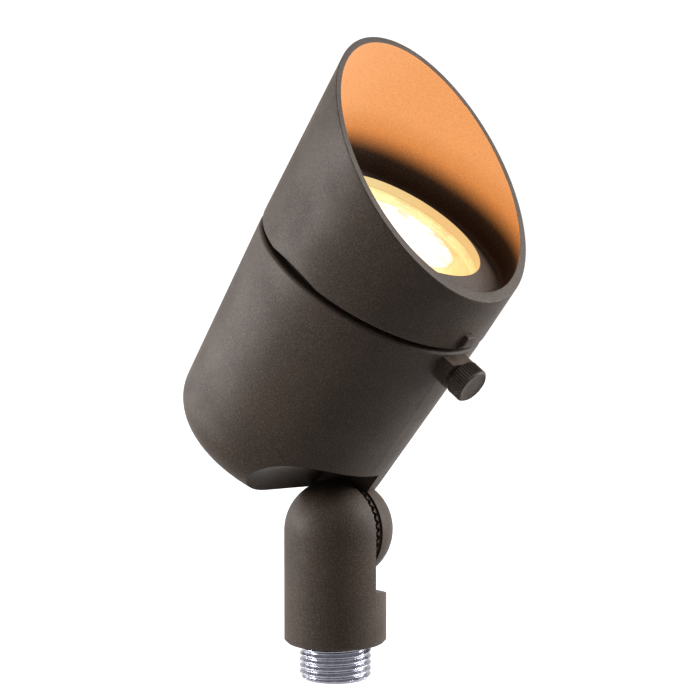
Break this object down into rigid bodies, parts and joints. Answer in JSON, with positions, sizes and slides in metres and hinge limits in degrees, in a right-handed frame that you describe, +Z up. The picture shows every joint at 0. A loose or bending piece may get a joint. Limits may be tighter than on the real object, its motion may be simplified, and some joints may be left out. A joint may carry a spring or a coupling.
{
  "type": "outdoor spotlight",
  "caption": "Low-voltage outdoor spotlight with a cup-shaped head on a serrated swivel knuckle, a slanting glare shroud locked by a thumbscrew, and a half-inch threaded nipple.",
  "frame": {"origin": "centre of the stem's bottom face, on the axis of the threaded nipple", "axes": "+Z up the stem, +Y along the swivel screw from the stem's half of the knuckle to the head's half, +X the way the head leans"},
  "size_m": [0.1008, 0.0738, 0.1851],
  "materials": {
    "powder_coat": "fine matt texture",
    "knob_coat": "satin",
    "zinc_plate": "bright zinc",
    "stainless": "satin",
    "black_rubber": "matt",
    "lens_glass": "clear",
    "reflector_glass": "bright",
    "capsule_glass": "glowing",
    "ceramic": "glazed",
    "lead_cover": "matt"
  },
  "bodies": {
    "stem_body": {"stem": "powder_coat", "threaded_nipple": "zinc_plate", "pivot_screw": "stainless", "spring_washer": "stainless", "knuckle_seal": "black_rubber"},
    "head_body": {"housing": "powder_coat", "lead_grommet": "black_rubber", "holder_bracket": "stainless", "bracket_screws": "stainless", "lamp_holder": "ceramic", "socket_leads": "lead_cover", "lamp_base": "ceramic", "lamp_pins": "stainless", "lamp_reflector": "reflector_glass", "lamp_capsule": "capsule_glass", "lamp_cover_glass": "lens_glass"},
    "seal_body": {"shroud_o_ring": "black_rubber"},
    "shroud_body": {"shroud": "powder_coat", "lens": "lens_glass", "lens_gasket": "black_rubber", "lens_retaining_ring": "stainless"},
    "screw_body": {"thumbscrew_shank": "stainless"},
    "knob_body": {"thumbscrew_knob": "knob_coat"}
  },
  "joints": [
    {"name": "head_tilt", "type": "hinge", "parent": "stem_body", "child": "head_body", "pos_m": [0, 0, 0.0327], "axis": [0, 1, 0], "range_deg": [-54, 54]},
    {"name": "shroud_pull", "type": "slide", "parent": "head_body", "child": "seal_body", "axis": [0.5878, 0, 0.809], "range_m": [0, 0.018]},
    {"name": "shroud_turn", "type": "hinge", "parent": "seal_body", "child": "shroud_body", "pos_m": [0.01538, -0.0013, 0.10805], "axis": [0.5878, 0, 0.809], "continuous": true},
    {"name": "thumbscrew_travel", "type": "slide", "parent": "head_body", "child": "screw_body", "axis": [0.809, 0, -0.5878], "range_m": [0, 0.004]},
    {"name": "thumbscrew_turn", "type": "hinge", "parent": "screw_body", "child": "knob_body", "pos_m": [0.04711, -0.0013, 0.07857], "axis": [0.809, 0, -0.5878], "range_deg": [0, 1800]}
  ],
  "couplings": [
    {"joint": "thumbscrew_turn", "follows": "thumbscrew_travel", "rad_per_m": 7854}
  ]
}
